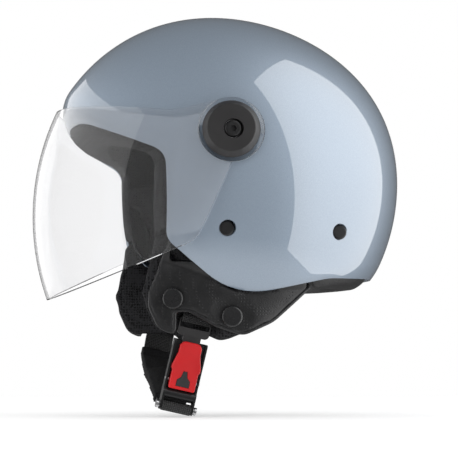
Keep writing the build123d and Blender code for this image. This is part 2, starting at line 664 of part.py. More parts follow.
def buckle_frame():
    """Channel of the receiver: floor, two cheeks that hold the pins, and the end barrel."""
    half = FRAME_WIDTH / 2
    floor = buckle_prism(((5, FRAME_FLOOR), (5, FRAME_FLOOR + FRAME_WALL),
                          (FRAME_TOP, FRAME_FLOOR + FRAME_WALL), (FRAME_TOP, FRAME_FLOOR)), FRAME_WIDTH)
    lug = BAR_R + FRAME_LUG
    side_view = ((-lug, -lug), (-lug, lug), (FRAME_RAMP - 3, lug), (FRAME_RAMP, FRAME_RIM),
                 (FRAME_TOP, FRAME_RIM), (FRAME_TOP, FRAME_FLOOR), (5, FRAME_FLOOR), (3, -lug))
    cheeks = buckle_prism(side_view, FRAME_WIDTH, (2, 2, 1, 1, 2, 0, 0, 0))
    cheeks -= buckle_prism(((-9, -9), (-9, 9), (60, 9), (60, -9)), FRAME_WIDTH - 2 * FRAME_WALL)
    barrel = buckle_rod(BARREL_U, 0, BARREL_R, half)
    # The blocks that guide the tongue's edges.
    guide = buckle_prism(((GUIDE_LOW, FRAME_FLOOR), (GUIDE_LOW, TONGUE_N + 1.2),
                          (FRAME_TOP - 1, TONGUE_N + 1.2), (FRAME_TOP - 1, FRAME_FLOOR)), FRAME_WIDTH)
    guide -= buckle_prism(((20, -20), (20, 20), (60, 20), (60, -20)), TONGUE_WIDTH + 2 * SEAT_GAP)
    body = floor + cheeks + barrel + guide
    body -= buckle_rod(0, 0, BAR_R + RUNNING_GAP / 2, BIG)
    body -= buckle_rod(LEVER_PIN_U, LEVER_PIN_N, LEVER_PIN_R + RUNNING_GAP / 2, BIG)
    return largest(body)


def lever_pin():
    return buckle_rod(LEVER_PIN_U, LEVER_PIN_N, LEVER_PIN_R, FRAME_WIDTH / 2 + 0.4)


def lever_outline(half, radii):
    """A mirrored outline on the lever's face with rounded corners."""
    face = make_face(Polyline(*half, *[(-x, y) for x, y in reversed(half)], close=True))
    for (x, y), radius in zip(half, radii):
        for sign in SIDES.values():
            face = fillet(face.vertices().sort_by_distance(Vector(sign * x, y, 0))[0], radius)
    return face


def inlay_outline(shrink=0.0):
    return offset(make_face(Polyline(*LEVER_INLAY, *[(-x, y) for x, y in reversed(LEVER_INLAY)],
                                     close=True)), -shrink, kind=Kind.INTERSECTION)


def buckle_lever():
    """The red release lever: a waisted thumb plate, two lugs round the pin and a row of pawl teeth."""
    rear = buckle_plane(LEVER_REAR)
    plate = extrude(rear * lever_outline(LEVER_FACE, (1.2, 0.8, 0.8, 1.2, 2.0, 1.5, 1.0, 1.0)),
                    LEVER_THICK)
    plate = chamfer(plate.faces().sort_by(Axis(rear.origin, rear.z_dir))[-1].edges(), 0.5)
    plate -= extrude(rear.offset(LEVER_THICK - INLAY_DEPTH) * inlay_outline(), LEVER_THICK)
    root = LEVER_REAR + 0.2
    low, high = LUG_UP
    lugs = buckle_prism(((low, LEVER_PIN_N - 1.2), (low, root), (high, root), (high, LEVER_PIN_N - 1.2),
                         (LEVER_PIN_U, LEVER_PIN_N - 1.9)), LUG_SPAN)
    lugs -= buckle_prism(((0, -20), (0, 20), (60, 20), (60, -20)), LUG_SPAN - 2 * LUG_THICK)
    pawl = buckle_prism(((31, root), (31, -0.45), (32.2, -0.15), (33, -0.15), (35, root)),
                        TONGUE_WIDTH - 1)
    return largest(plate + lugs + pawl
                   - buckle_rod(LEVER_PIN_U, LEVER_PIN_N, LEVER_PIN_R + RUNNING_GAP / 2, BIG))


def lever_inlay():
    """Black moulding let into the lever's face."""
    floor = buckle_plane(LEVER_REAR + LEVER_THICK - INLAY_DEPTH + RUNNING_GAP)
    return extrude(floor * inlay_outline(SEAT_GAP), INLAY_DEPTH)


def lever_spring():
    """Torsion spring wound round the lever's pin, beside one of the lugs."""
    pitch = 2 * SPRING_WIRE_R + 0.06
    coil_r = LEVER_PIN_R + SPRING_WIRE_R + 0.12
    plane = strap_plane()
    centre = plane.from_local_coords(Vector(*buckle_point(LEVER_PIN_U, LEVER_PIN_N), 0))
    rings = []
    for turn in range(SPRING_TURNS):
        offset = plane.z_dir * (pitch * (turn - (SPRING_TURNS - 1) / 2) + SPRING_PLACE)
        rings.append(Plane(centre + offset, x_dir=plane.x_dir, z_dir=plane.z_dir)
                     * Torus(coil_r, SPRING_WIRE_R))
    return Compound(rings)


def ratchet_tongue():
    """Toothed steel tongue with a wide slotted head for the left webbing."""
    half_t = TONGUE_THICK / 2
    points = [(TONGUE_LOW, TONGUE_N - half_t), (TONGUE_LOW, TONGUE_N + half_t - TOOTH_DEPTH)]
    up = TONGUE_LOW + 1.5
    while up + TOOTH_PITCH < FRAME_TOP - 1:
        points += [(up, TONGUE_N + half_t), (up + TOOTH_PITCH - 0.3, TONGUE_N + half_t - TOOTH_DEPTH)]
        up += TOOTH_PITCH
    points += [(up, TONGUE_N + half_t), (TONGUE_HEAD[0] + 2, TONGUE_N + half_t),
               (TONGUE_HEAD[0] + 2, TONGUE_N - half_t)]
    blade = buckle_prism(points, TONGUE_WIDTH)
    face = buckle_plane(TONGUE_N - TONGUE_HEAD_THICK / 2)
    height = TONGUE_HEAD[1] - TONGUE_HEAD[0]
    middle = (TONGUE_HEAD[1] + TONGUE_HEAD[0]) / 2
    head = extrude(face * Pos(0, middle) * RectangleRounded(TONGUE_HEAD_WIDTH, height, 3.5),
                   TONGUE_HEAD_THICK)
    slot = extrude(face * Pos(0, TONGUE_HEAD[1] - TONGUE_BAR - TONGUE_SLOT / 2)
                   * RectangleRounded(WEB_WIDTH + 0.6, TONGUE_SLOT, 1), BIG, both=True)
    return largest(blade + head - slot)


# ---------------------------------------------------------------- build
def build():
    slot = strap_slot()
    layer = liner_layer()
    parts = {
        "outer_shell": outer_shell(edge_outline()),
        "eps_liner": eps_liner(edge_outline(inset=6.4), slot),
        "crown_liner": crown_liner(layer),
        "brow_liner": brow_liner(layer, edge_outline(inset=-0.8), edge_outline(inset=5.5)),
        "nape_liner": nape_liner(layer),
        "neck_roll": neck_roll(),
    }
    below = side_prism(BELOW_SHELL)
    under_shell = egg(-SHELL_WALL - LAYER_GAP)
    shell_room = egg(3 * LAYER_GAP) - under_shell - edge_outline(inset=-1.5 * LAYER_GAP)
    inner = egg(-SHELL_WALL - EPS_WALL - 2 * LAYER_GAP - 0.2)
    low_room = (egg(-SHELL_WALL - FLAP_WALL - 2 * LAYER_GAP) + curtain(-FLAP_WALL - LAYER_GAP)) & below
    pad_room = (inner + low_room) - parts["brow_liner"] - parts["nape_liner"] - parts["neck_roll"]
    pad_room = pad_room - shell_room
    flap_layer = (under_shell + curtain()) - (egg(-SHELL_WALL - LAYER_GAP - FLAP_WALL)
                                              + curtain(-FLAP_WALL))
    flap_layer = (flap_layer & below) - shell_room - parts["neck_roll"]
    for name, side in SIDES.items():
        flap = ear_flap(side, flap_layer)
        parts[f"ear_flap_{name}"] = flap
        parts[f"cheek_pad_{name}"] = largest(cheek_pad(side, pad_room, slot) - flap - stud_beds(side))
        parts[f"flap_snap_caps_{name}"] = snap_caps(side)
        parts[f"flap_snap_studs_{name}"] = snap_studs(side)
        parts[f"pivot_base_{name}"] = pivot_base(side)
        parts[f"pivot_washer_{name}"] = pivot_washer(side)
        parts[f"pivot_cap_{name}"] = pivot_cap(side)
        parts[f"pivot_screw_{name}"] = pivot_screw(side)
        parts[f"pivot_nut_{name}"] = pivot_nut(side)
        parts[f"strap_hanger_{name}"] = strap_hanger(side)
    parts["front_strap_rivets"] = rivet_pair(FRONT_RIVET, web_top_x() - WEB_THICK / 2)
    parts["rear_liner_rivets"] = rivet_pair(REAR_RIVET, plate_x(REAR_RIVET) - HANGER_THICK)
    parts["rear_liner_clips"] = liner_clips()
    parts["visor"] = visor()
    parts["strap_webbing_left"] = web_left()
    parts["strap_webbing_right"] = web_right()
    parts["chin_pad"] = chin_pad()
    parts["buckle_cross_bar"] = cross_bar()
    parts["buckle_frame"] = buckle_frame()
    parts["buckle_lever"] = buckle_lever()
    parts["buckle_lever_inlay"] = lever_inlay()
    parts["buckle_lever_pin"] = lever_pin()
    parts["buckle_lever_spring"] = lever_spring()
    parts["ratchet_tongue"] = ratchet_tongue()
    return parts


os.makedirs("parts", exist_ok=True)
for node, shape in build().items():
    export_step(shape, f"parts/{node}.step")
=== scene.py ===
import bpy
import bmesh
import numpy as np
from math import cos, pi, radians, sin, sqrt, tan
from mathutils import Matrix, Vector


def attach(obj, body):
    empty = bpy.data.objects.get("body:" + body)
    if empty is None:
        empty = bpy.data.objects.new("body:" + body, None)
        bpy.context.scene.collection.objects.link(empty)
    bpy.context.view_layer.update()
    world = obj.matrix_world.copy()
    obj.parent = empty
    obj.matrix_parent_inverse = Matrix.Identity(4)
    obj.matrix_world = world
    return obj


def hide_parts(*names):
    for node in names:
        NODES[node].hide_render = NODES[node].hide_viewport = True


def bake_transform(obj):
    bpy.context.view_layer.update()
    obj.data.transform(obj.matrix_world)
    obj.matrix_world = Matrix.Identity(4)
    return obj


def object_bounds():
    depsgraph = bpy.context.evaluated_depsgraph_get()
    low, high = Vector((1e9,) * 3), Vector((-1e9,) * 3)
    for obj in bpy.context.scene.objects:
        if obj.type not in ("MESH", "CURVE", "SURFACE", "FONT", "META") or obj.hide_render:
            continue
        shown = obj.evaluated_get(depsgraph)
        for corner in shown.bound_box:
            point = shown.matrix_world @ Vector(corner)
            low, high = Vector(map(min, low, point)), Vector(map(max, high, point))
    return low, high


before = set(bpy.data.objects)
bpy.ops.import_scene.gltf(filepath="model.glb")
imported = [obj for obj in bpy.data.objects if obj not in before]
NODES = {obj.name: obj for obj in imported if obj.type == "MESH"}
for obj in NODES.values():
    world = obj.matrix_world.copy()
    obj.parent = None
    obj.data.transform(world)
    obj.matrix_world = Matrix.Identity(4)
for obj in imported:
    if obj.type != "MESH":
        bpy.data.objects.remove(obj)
CAD_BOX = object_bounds()
SIDES = {"left": 1, "right": -1}
MM = 0.001

# ---- brightness of the surroundings: on matt surfaces, under the visor, and in mirrors above and below ----
DOME, DOME_THROUGH_VISOR, MIRROR_DIM, MIRROR_LOW = 0.78, 0.42, 0.12, 0.9

# ---- the shell's egg, in millimetres, as the CAD shell has it ----
HALF_WIDTH, HALF_LENGTH, HALF_HEIGHT = 120.0, 140.0, 129.0
NOSE_TAPER, NAPE_SWELL, BROW_LIFT = 0.16, 0.10, 16.5
BROW_FRONT_Y, BROW_ROUND_R, BROW_BLEND = -121.5, 150.0, 5.0
SHELL_WALL = 3.6
EDGE = ((-121.0, 41.8), (-61.3, 14.4), (-58.3, -50.3), (-5.0, -92.9), (66.0, -78.0))
EDGE_RADII = (45.0, 16.0, 14.0, 62.0, 60.0)
NAPE_EDGE_Z = -75.5
RIM_BAND, RIM_ROLL, RIM_ROLL_LOW = 13.0, 3.6, 1.0
RIVETS = ((-16.0, -42.5), (69.7, -44.0))
RIVET_HOLE_R, RIVET_WELL_DEPTH = 6.1, 2.7

# ---- the visor ----
PIVOT_Y, PIVOT_Z = -15.0, 29.0
EAR_R, EAR_HOLE_R = 23.8, 17.0
EAR_FORWARD, EAR_UP = tan(radians(11.0)), tan(radians(5.0))
EAR_CLEAR, VISOR_OPEN = 0.7, 62
VISOR_WALL = 2.0
BOW_R, NOSE_Y, NOSE_Z = 190.0, -144.5, -27.0
VISOR_OUTLINE = ((-190.0, 61.8), (-56.0, 43.2), (PIVOT_Y - 6, PIVOT_Z + EAR_R - 1),
                 (PIVOT_Y + 8, PIVOT_Z - 5), (-40.0, -51.0), (-190.0, -116.3))
VISOR_RADII = (0, 45.0, 6.0, 6.0, 15.0, 0)
VISOR_ROWS, VISOR_COLUMNS, VISOR_START_TURN = 141, 61, 0.0015

# ---- the ear flaps, which follow a tall egg below the shell ----
CURTAIN_HALF_WIDTH, CURTAIN_HALF_HEIGHT, CURTAIN_Z = 88.7, 230.0, -30.0
FLAP_WALL = 2.6
FLAP_EDGE = ((-53.0, -50.0), (-66.5, -97.0), (-58.5, -114.0), (-48.0, -118.5), (-48.0, -101.5),
             (-38.0, -101.5), (-18.0, -112.5), (2.0, -119.0), (24.0, -109.0), (52.0, -84.0))
FLAP_EDGE_RADII = (0, 14.0, 12.0, 3.0, 3.0, 4.0, 12.0, 12.0, 30.0, 0)
SNAPS = ((-49.7, -92.8), (-6.7, -106.0))
FLAP_TUCK = 0.8
PIPING_R, PIPING_STEP = 1.5, 1.5

# ---- soft pieces: the pull of a press stud, the cloth run, and the webbing's selvedge ----
STUD_FLAT_R, STUD_FADE = 8.0, 9.0
CLOTH_PRESSURE, CLOTH_FRAMES = 4.0, 20
WEB_SELVEDGE = 0.35

# ---- the shell's mesh: corner steps, points round the edge, rings up to the pole, and the lip ----
CORNER_STEPS, EDGE_POINTS, FAR_RINGS, POLE_REACH = 8, 190, 64, 125.0
RIM_RINGS = (0, 0.4, 1.0, 1.8, 2.8, 4.0, 5.5, 7.5, 10.0, RIM_BAND)
RIM_LIP = ((-0.5, 0.35), (-0.2, 0.6), (0.3, 0.75))

# ---- camera and floor ----
CAMERA_AZIMUTH, CAMERA_ELEVATION, CAMERA_DISTANCE = 78.0, -5.0, 1.68
CAMERA_LENS, CAMERA_SENSOR, CAMERA_SHIFT = 168.8, 36.0, (0.0245, -0.100)
FLOOR_RADIUS, FLOOR_GLOW = 1.2, 0.42


# ---------------------------------------------------------------- geometry helpers
def rounded(points, radii, closed=False):
    """A polyline with its corners rounded off by parabolas, as a list of points."""
    out, count = [], len(points)
    for i, (point, radius) in enumerate(zip(points, radii)):
        inner = closed or 0 < i < count - 1
        if not inner or radius <= 0:
            out.append(np.array(point, float))
            continue
        p = np.array(point, float)
        a = np.array(points[i - 1], float) - p
        b = np.array(points[(i + 1) % count], float) - p
        ua, ub = a / np.linalg.norm(a), b / np.linalg.norm(b)
        half = np.arccos(np.clip(ua @ ub, -1, 1)) / 2
        reach = min(radius / np.tan(half), 0.48 * np.linalg.norm(a), 0.48 * np.linalg.norm(b))
        start, end = p + ua * reach, p + ub * reach
        for t in np.linspace(0, 1, CORNER_STEPS + 1):
            out.append((1 - t) ** 2 * start + 2 * t * (1 - t) * p + t**2 * end)
    return out


def resample(points, spacing):
    """An open polyline as points evenly spaced along it."""
    pts = np.array(points, float)
    along = np.concatenate([[0], np.cumsum(np.linalg.norm(np.diff(pts, axis=0), axis=1))])
    count = max(2, int(along[-1] / spacing))
    marks = np.linspace(0, along[-1], count + 1)
    return np.stack([np.interp(marks, along, pts[:, k]) for k in range(pts.shape[1])], axis=1)


def mesh_object(name, verts, faces):
    """A new object from vertices in millimetres."""
    mesh = bpy.data.meshes.new(name)
    mesh.from_pydata([tuple(v * MM for v in p) for p in verts], [], faces)
    bm = bmesh.new()
    bm.from_mesh(mesh)
    bmesh.ops.remove_doubles(bm, verts=bm.verts, dist=1e-5)
    bmesh.ops.recalc_face_normals(bm, faces=bm.faces)
    bm.to_mesh(mesh)
    bm.free()
    mesh.shade_smooth()
    obj = bpy.data.objects.new(name, mesh)
    bpy.context.scene.collection.objects.link(obj)
    return obj


def grid_faces(rows, columns):
    """Four-sided faces between neighbouring closed rows of points."""
    faces = []
    for i in range(rows - 1):
        for j in range(columns):
            k = (j + 1) % columns
            faces.append((i * columns + j, i * columns + k, (i + 1) * columns + k, (i + 1) * columns + j))
    return faces


def baked(obj):
    """Replaces an object's mesh with what its modifiers make of it."""
    graph = bpy.context.evaluated_depsgraph_get()
    mesh = bpy.data.meshes.new_from_object(obj.evaluated_get(graph))
    obj.modifiers.clear()
    obj.data = mesh
    return obj


def tube(name, points, radius, sides=10):
    """A round tube with closed ends along points in millimetres."""
    pts = [Vector(p) for p in points]
    verts, count = [], len(pts)
    normal = Vector((1, 0, 0))
    for i, p in enumerate(pts):
        ahead, behind = pts[min(i + 1, count - 1)], pts[max(i - 1, 0)]
        along = (ahead - behind).normalized()
        normal = (normal - along * normal.dot(along)).normalized()
        cross = along.cross(normal)
        verts += [p + (normal * cos(2 * pi * k / sides) + cross * sin(2 * pi * k / sides)) * radius
                  for k in range(sides)]
    faces = []
    for i in range(count - 1):
        for k in range(sides):
            a, b = i * sides, (i + 1) * sides
            faces.append((a + k, a + (k + 1) % sides, b + (k + 1) % sides, b + k))
    faces += [tuple(range(sides)), tuple(range((count - 1) * sides, count * sides))]
    return mesh_object(name, verts, faces)


# ---------------------------------------------------------------- the egg
def egg_surface(directions, grow):
    """Points of the grown egg for unit directions of its parameter sphere."""
    d = np.asarray(directions, float)
    s = d[:, 1]
    square = 1 - s * s
    x = (HALF_WIDTH + grow) * d[:, 0] * (1 + NOSE_TAPER * s)
    y = (HALF_LENGTH + grow) * s
    z = -BROW_LIFT * s * square + (HALF_HEIGHT + grow) * d[:, 2] * (1 + NAPE_SWELL * s)
    middle = BROW_FRONT_Y + BROW_ROUND_R
    reach = np.sqrt(x**2 + (y - middle) ** 2)
    limit = BROW_ROUND_R + grow
    over = np.clip((reach - limit + BROW_BLEND) / (2 * BROW_BLEND), 0, 1)
    eased = reach * (1 - over) + limit * over - BROW_BLEND * over * (1 - over)
    share = np.where(y < 0, eased / np.maximum(reach, 1e-6), 1.0)
    return np.stack([x * share, middle + (y - middle) * share, z], axis=1)


def egg_x(y, z, grow=0.0):
    s = y / (HALF_LENGTH + grow)
    square = 1 - s * s
    height = (HALF_HEIGHT + grow) * sqrt(square) * (1 + NAPE_SWELL * s)
    width = (HALF_WIDTH + grow) * sqrt(square) * (1 + NOSE_TAPER * s)
    return width * sqrt(max(0.0, 1 - ((z + BROW_LIFT * s * square) / height) ** 2))


def flap_x(y, z):
    """X of the ear flap's outer face."""
    s = y / HALF_LENGTH
    share = sqrt(1 - s * s)
    width = CURTAIN_HALF_WIDTH * share * (1 + NOSE_TAPER * s)
    below = width * sqrt(1 - ((z - CURTAIN_Z) / (CURTAIN_HALF_HEIGHT * share)) ** 2)
    return max(below, egg_x(y, z, -SHELL_WALL - FLAP_TUCK))


def edge_directions():
    """The shell's edge as directions on the parameter sphere, left half from brow to nape and back."""
    line = ((-200.0, EDGE[0][1]),) + EDGE + ((200.0, NAPE_EDGE_Z),)
    path = resample(rounded(line, (0,) + EDGE_RADII + (0,)), 0.25)
    s = path[:, 0] / HALF_LENGTH
    up = (path[:, 1] + BROW_LIFT * s * (1 - s * s)) / (HALF_HEIGHT * (1 + NAPE_SWELL * s))
    across = 1 - s * s - up * up
    keep = across > 0
    half = np.stack([np.sqrt(across[keep]), s[keep], up[keep]], axis=1)
    place = egg_surface(half, 0)
    along = np.concatenate([[0], np.cumsum(np.linalg.norm(np.diff(place, axis=0), axis=1))])
    marks = np.linspace(0, along[-1], EDGE_POINTS)
    half = np.stack([np.interp(marks, along, half[:, k]) for k in range(3)], axis=1)
    half[0, 0] = half[-1, 0] = 0
    half /= np.linalg.norm(half, axis=1)[:, None]
    mirror = half[-2:0:-1] * np.array([-1, 1, 1])
    return np.concatenate([half, mirror])


def shell_mesh():
    """The lacquered shell: the egg from a pole behind the crown out to a rolled-in rim, and back inside."""
    edge = edge_directions()
    pole = np.array([0, 0.6, 0.8])
    angle = np.arccos(np.clip(edge @ pole, -1, 1))
    place = egg_surface(edge, 0)
    facing = np.clip((-40 - place[:, 1]) / 25, 0, 1) * np.clip((place[:, 2] + 75) / 25, 0, 1)
    roll = RIM_ROLL_LOW + (RIM_ROLL - RIM_ROLL_LOW) * facing
    count = len(edge)

    def ring(back, sink):
        """One ring of points, back millimetres from the edge and sunk below the egg."""
        share = np.clip(1 - back / (POLE_REACH * angle), 0, 1)
        direction = (np.sin((1 - share) * angle)[:, None] * pole
                     + np.sin(share * angle)[:, None] * edge) / np.sin(angle)[:, None]
        direction /= np.linalg.norm(direction, axis=1)[:, None]
        outer = egg_surface(direction, 0)
        inner = egg_surface(direction, -1.0)
        return outer + (inner - outer) * np.asarray(sink)[:, None]

    def far_rings(sink):
        for share in np.linspace(1, 0.004, FAR_RINGS)[1:]:
            back = POLE_REACH * angle - (POLE_REACH * angle - RIM_BAND) * share
            yield ring(back, np.full(count, sink))

    inside = [ring(np.full(count, d),
                   roll * (1 - d / RIM_BAND) ** 2 + SHELL_WALL * (0.8 + 0.2 * d / RIM_BAND))
              for d in RIM_RINGS[2:]]
    rows = list(far_rings(0.0))[::-1]
    rows += [ring(np.full(count, d), roll * (1 - d / RIM_BAND) ** 2) for d in RIM_RINGS[::-1]]
    rows += [ring(np.full(count, back), roll + share * SHELL_WALL) for back, share in RIM_LIP]
    rows += inside + list(far_rings(SHELL_WALL))
    verts = [tuple(p) for row in rows for p in row]
    faces = grid_faces(len(rows), count)
    verts += [tuple(egg_surface([pole], 0)[0]), tuple(egg_surface([pole], -SHELL_WALL)[0])]
    last = (len(rows) - 1) * count
    faces += [(len(verts) - 2, j, (j + 1) % count) for j in range(count)]
    faces += [(len(verts) - 1, last + (j + 1) % count, last + j) for j in range(count)]
    return mesh_object("shell", verts, faces)


def cut_rivet_wells(shell):
    """Sinks the round wells that the rivet heads sit in."""
    cutters = []
    for side in SIDES.values():
        for y, z in RIVETS:
            depth = egg_x(y, z) - RIVET_WELL_DEPTH
            bm = bmesh.new()
            place = Matrix.Translation((side * (depth + 10) * MM, y * MM, z * MM))
            turn = place @ Matrix.Rotation(pi / 2, 4, "Y")
            bmesh.ops.create_cone(bm, cap_ends=True, segments=48, radius1=RIVET_HOLE_R * MM,
                                  radius2=RIVET_HOLE_R * MM, depth=20 * MM, matrix=turn)
            mesh = bpy.data.meshes.new("well")
            bm.to_mesh(mesh)
            bm.free()
            cutter = bpy.data.objects.new("well", mesh)
            bpy.context.scene.collection.objects.link(cutter)
            boolean = shell.modifiers.new("well", "BOOLEAN")
            boolean.object, boolean.operation, boolean.solver = cutter, "DIFFERENCE", "EXACT"
            cutters.append(cutter)
    bpy.context.view_layer.update()
    baked(shell)
    for cutter in cutters:
        bpy.data.objects.remove(cutter)
    shell.data.shade_smooth()
    shell.data.set_sharp_from_angle(angle=radians(35))


# ---------------------------------------------------------------- the visor
def ear_axis_x():
    """X where an ear's inner face crosses the pivot axis, so that the turning ear clears the shell."""
    needed = 0.0
    for degrees in range(0, 360, 5):
        angle = radians(degrees)
        lean = EAR_R * (EAR_FORWARD * cos(angle) + EAR_UP * sin(angle))
        for turned in range(0, VISOR_OPEN + 1, 2):
            y = PIVOT_Y - EAR_R * cos(angle + radians(turned))
            z = PIVOT_Z + EAR_R * sin(angle + radians(turned))
            needed = max(needed, egg_x(y, z) + lean)
    return needed + EAR_CLEAR


EAR_AXIS_X = ear_axis_x()


def visor_reach(angle):
    centre_y, centre_z = NOSE_Y + BOW_R - PIVOT_Y, NOSE_Z - PIVOT_Z
    along = -centre_y * cos(angle) + centre_z * sin(angle)
    return along + sqrt(along**2 + BOW_R**2 - centre_y**2 - centre_z**2)


def inside_outline(y, z, outline):
    inside = False
    for (y0, z0), (y1, z1) in zip(outline, outline[1:] + outline[:1]):
        if (z0 > z) != (z1 > z) and y < (y1 - y0) * (z - z0) / (z1 - z0) + y0:
            inside = not inside
    return inside


def visor_point(angle, turn, out_shift):
    """A point of the blade: turn runs 0 at the left ear, pi/2 in front, pi at the right ear."""
    start = EAR_R - 0.2
    reach = visor_reach(angle) - VISOR_WALL + out_shift
    out = start + (reach - start) * sin(turn)
    drop = EAR_FORWARD * cos(angle) + EAR_UP * sin(angle)
    x = (EAR_AXIS_X + out_shift - drop * out) * cos(turn)
    return x, PIVOT_Y - out * cos(angle), PIVOT_Z + out * sin(angle)


def visor_limits(turn, outline):
    """The lowest and highest angle of the blade at one turn, found from a ray that is always on it."""
    limits = []
    for way in (-1, 1):
        step, near = radians(1.5), radians(-25.0)

        def on_blade(angle):
            x, y, z = visor_point(angle, turn, 0)
            return inside_outline(y, z, outline)

        while on_blade(near + way * step):
            near += way * step
        far = near + way * step
        for _ in range(20):
            middle = (near + far) / 2
            if on_blade(middle):
                near = middle
            else:
                far = middle
        limits.append(near)
    return limits


def visor_mesh():
    """The clear blade between the ears, with its outline's corners rounded; visor_ear makes the ring of each
    ear behind the pivot.
    """
    outline = [tuple(p) for p in rounded(VISOR_OUTLINE, VISOR_RADII, closed=True)]
    turns = [pi / 2 * (1 - cos(pi * i / (VISOR_ROWS - 1))) for i in range(VISOR_ROWS)]
    turns = [VISOR_START_TURN + (pi - 2 * VISOR_START_TURN) * t / pi for t in turns]
    across = VISOR_COLUMNS
    spans = [visor_limits(turn, outline) for turn in turns]
    verts = []
    for turn, (low, high) in zip(turns, spans):
        loop = []
        for shift, order in ((VISOR_WALL, range(across)), (0.0, range(across - 1, -1, -1))):
            for j in order:
                angle = low + (high - low) * j / (across - 1)
                loop.append(visor_point(angle, turn, shift))
        verts += loop
    columns = 2 * across
    faces = grid_faces(len(turns), columns)
    for row in (0, len(turns) - 1):
        base = row * columns
        faces += [(base + j, base + j + 1, base + columns - 2 - j, base + columns - 1 - j)
                  for j in range(across - 1)]
    blade = mesh_object("visor_blade", verts, faces)
    blade.data.set_sharp_from_angle(angle=radians(40))
    return blade


def visor_ear(side):
    """The flat ring of an ear, from the hub to its rim, with a rounded outer edge."""
    profile = [(EAR_HOLE_R, 0.0), (EAR_R - 0.5, 0.0), (EAR_R, 0.5), (EAR_R, VISOR_WALL - 0.5),
               (EAR_R - 0.5, VISOR_WALL), (EAR_HOLE_R, VISOR_WALL)]
    verts, count = [], 96
    for radius, shift in profile:
        for k in range(count):
            angle = 2 * pi * k / count
            drop = EAR_FORWARD * cos(angle) + EAR_UP * sin(angle)
            verts.append((side * (EAR_AXIS_X + shift - drop * radius), PIVOT_Y - radius * cos(angle),
                          PIVOT_Z + radius * sin(angle)))
    rings = len(profile)
    faces = []
    for i in range(rings):
        for k in range(count):
            a, b, n = i * count, ((i + 1) % rings) * count, (k + 1) % count
            faces.append((a + k, a + n, b + n, b + k))
    ear = mesh_object(f"visor_ear_{'left' if side > 0 else 'right'}", verts, faces)
    ear.data.set_sharp_from_angle(angle=radians(50))
    return ear


# ---------------------------------------------------------------- soft pieces
def copied(node, name):
    obj = bpy.data.objects.new(name, NODES[node].data.copy())
    obj.data.materials.clear()
    bpy.context.scene.collection.objects.link(obj)
    return obj


def relaxed(obj, factor, rounds):
    smooth = obj.modifiers.new("smooth", "SMOOTH")
    smooth.factor, smooth.iterations = factor, rounds
    return baked(obj)


def cushion(node, name, voxel, sink, cap, rounds=4, buttons=()):
    """A CAD solid made soft: remeshed, drawn in, blown up by cloth pressure, held at buttons, smoothed."""
    obj = copied(node, name)
    remesh = obj.modifiers.new("remesh", "REMESH")
    remesh.mode, remesh.voxel_size = "VOXEL", voxel * MM
    baked(obj)
    relaxed(obj, 0.5, rounds)
    mesh = obj.data
    count = len(mesh.vertices)
    before, normals = np.empty(count * 3), np.empty(count * 3)
    mesh.vertices.foreach_get("co", before)
    mesh.vertices.foreach_get("normal", normals)
    blown = before + normals * 0.5 * cap * MM
    mesh.vertices.foreach_set("co", before - normals * sink * MM)
    cloth = obj.modifiers.new("cloth", "CLOTH")
    cloth.settings.use_pressure = True
    cloth.settings.uniform_pressure_force = CLOTH_PRESSURE
    cloth.settings.effector_weights.gravity = 0.0
    cloth.settings.quality = 5
    scene = bpy.context.scene
    for step in range(1, CLOTH_FRAMES + 1):
        scene.frame_set(step)
        bpy.context.view_layer.update()
    graph = bpy.context.evaluated_depsgraph_get()
    obj.evaluated_get(graph).data.vertices.foreach_get("co", blown)
    obj.modifiers.clear()
    scene.frame_set(1)
    move, start = (blown - before).reshape(-1, 3), before.reshape(-1, 3)
    size = np.linalg.norm(move, axis=1)
    scale = np.where(size > cap * MM, cap * MM / np.maximum(size, 1e-9), 1.0)
    for button in buttons:
        gap = np.linalg.norm(start - np.array(button) * MM, axis=1) / MM
        scale *= np.clip((gap - STUD_FLAT_R) / STUD_FADE, 0, 1)
    mesh.vertices.foreach_set("co", (start + move * scale[:, None]).ravel())
    mesh.update()
    relaxed(obj, 0.5, 2)
    divide = obj.modifiers.new("divide", "SUBSURF")
    divide.levels = divide.render_levels = 1
    baked(obj)
    obj.data.shade_smooth()
    return obj


def strap(node, name):
    """Flat webbing with soft selvedges."""
    obj = copied(node, name)
    edge = obj.modifiers.new("edge", "BEVEL")
    edge.width, edge.segments = WEB_SELVEDGE * MM, 2
    edge.limit_method, edge.angle_limit = "ANGLE", radians(50)
    baked(obj)
    obj.data.shade_smooth()
    obj.data.set_sharp_from_angle(angle=radians(40))
    return obj


